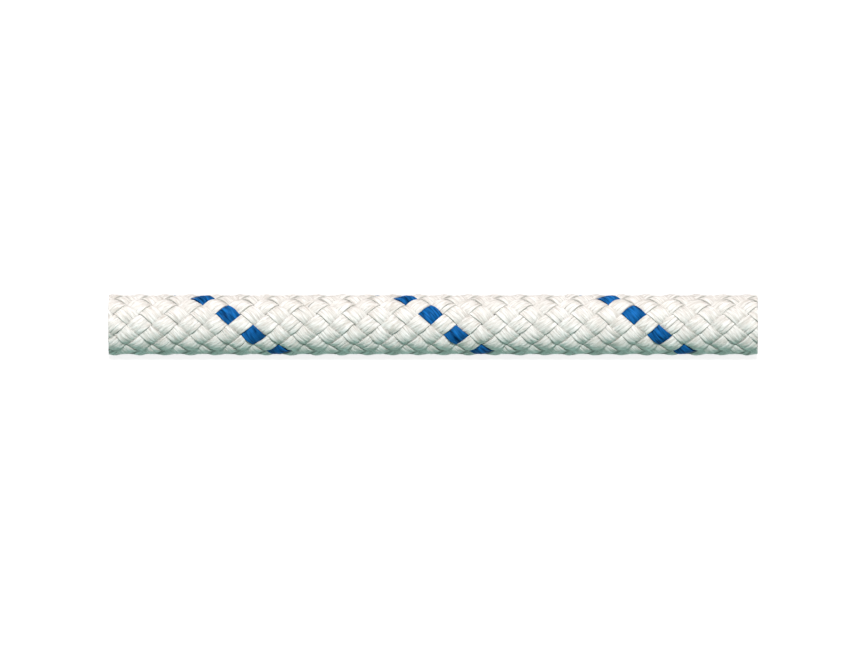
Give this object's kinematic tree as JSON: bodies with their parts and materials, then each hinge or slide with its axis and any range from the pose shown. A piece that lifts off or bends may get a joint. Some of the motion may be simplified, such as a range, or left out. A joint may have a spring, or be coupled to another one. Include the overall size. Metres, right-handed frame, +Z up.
{
  "type": "dynamic climbing rope length",
  "caption": "Square-cut length of white braided kernmantle climbing rope with one blue tracer strand and a twisted-ply core.",
  "frame": {"origin": "under the middle of the rope, on the plane that it lies on", "axes": "+X along the rope, +Y across it, +Z up"},
  "size_m": [0.1074, 0.0098, 0.0098],
  "materials": {
    "sheath_yarn": "lustrous white polyamide yarn",
    "tracer_yarn": "lustrous blue polyamide yarn",
    "core_yarn": "white polyamide yarn, twisted"
  },
  "bodies": {
    "root": {"tracer_strand": "tracer_yarn", "sheath_strand_s1": "sheath_yarn", "sheath_strand_s2": "sheath_yarn", "sheath_strand_s3": "sheath_yarn", "sheath_strand_s4": "sheath_yarn", "sheath_strand_s5": "sheath_yarn", "sheath_strand_s6": "sheath_yarn", "sheath_strand_s7": "sheath_yarn", "sheath_strand_z1": "sheath_yarn", "sheath_strand_z2": "sheath_yarn", "sheath_strand_z3": "sheath_yarn", "sheath_strand_z4": "sheath_yarn", "sheath_strand_z5": "sheath_yarn", "sheath_strand_z6": "sheath_yarn", "sheath_strand_z7": "sheath_yarn", "sheath_strand_z8": "sheath_yarn", "core_cord_1_ply_1": "core_yarn", "core_cord_1_ply_2": "core_yarn", "core_cord_1_ply_3": "core_yarn", "core_cord_2_ply_1": "core_yarn", "core_cord_2_ply_2": "core_yarn", "core_cord_2_ply_3": "core_yarn", "core_cord_3_ply_1": "core_yarn", "core_cord_3_ply_2": "core_yarn", "core_cord_3_ply_3": "core_yarn", "core_cord_4_ply_1": "core_yarn", "core_cord_4_ply_2": "core_yarn", "core_cord_4_ply_3": "core_yarn", "core_cord_5_ply_1": "core_yarn", "core_cord_5_ply_2": "core_yarn", "core_cord_5_ply_3": "core_yarn", "core_cord_6_ply_1": "core_yarn", "core_cord_6_ply_2": "core_yarn", "core_cord_6_ply_3": "core_yarn", "core_cord_7_ply_1": "core_yarn", "core_cord_7_ply_2": "core_yarn", "core_cord_7_ply_3": "core_yarn", "core_cord_8_ply_1": "core_yarn", "core_cord_8_ply_2": "core_yarn", "core_cord_8_ply_3": "core_yarn", "core_cord_9_ply_1": "core_yarn", "core_cord_9_ply_2": "core_yarn", "core_cord_9_ply_3": "core_yarn", "core_cord_10_ply_1": "core_yarn", "core_cord_10_ply_2": "core_yarn", "core_cord_10_ply_3": "core_yarn", "core_cord_11_ply_1": "core_yarn", "core_cord_11_ply_2": "core_yarn", "core_cord_11_ply_3": "core_yarn", "core_cord_12_ply_1": "core_yarn", "core_cord_12_ply_2": "core_yarn", "core_cord_12_ply_3": "core_yarn"}
  },
  "joints": []
}
